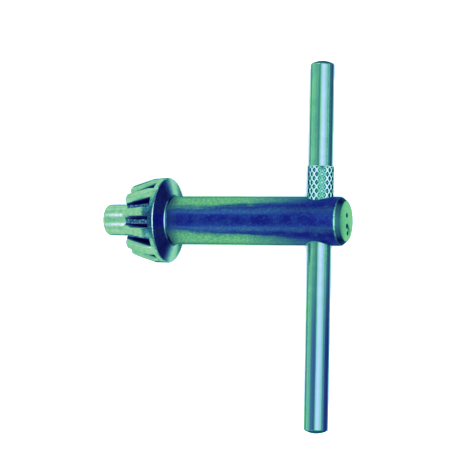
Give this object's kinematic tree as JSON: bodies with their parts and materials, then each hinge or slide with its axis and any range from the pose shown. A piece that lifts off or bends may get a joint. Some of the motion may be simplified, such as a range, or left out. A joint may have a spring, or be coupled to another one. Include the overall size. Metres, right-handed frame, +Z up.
{
  "type": "drill chuck key",
  "caption": "Drill chuck key: pilot pin and toothed bevel pinion on a round shank, with a pressed crossbar handle that has a knurled band.",
  "frame": {"origin": "centre of the flat tip face of the pilot pin, on the key's axis", "axes": "+X along the key's axis from the pilot to the head, +Y along the crossbar towards its knurled shorter side, +Z up when the key lies flat"},
  "size_m": [0.0659, 0.0944, 0.022],
  "materials": {
    "pinion_steel": "pale green-grey plated steel with fine turning marks, bright on its edges",
    "shank_steel": "dark blued steel, satin and slightly mottled, greener along its sides",
    "bar_steel": "smooth drawn steel with a teal cast and a soft bright line along it"
  },
  "bodies": {
    "root": {"bevel_pinion": "pinion_steel", "key_shank": "shank_steel", "tommy_bar": "bar_steel"}
  },
  "joints": []
}
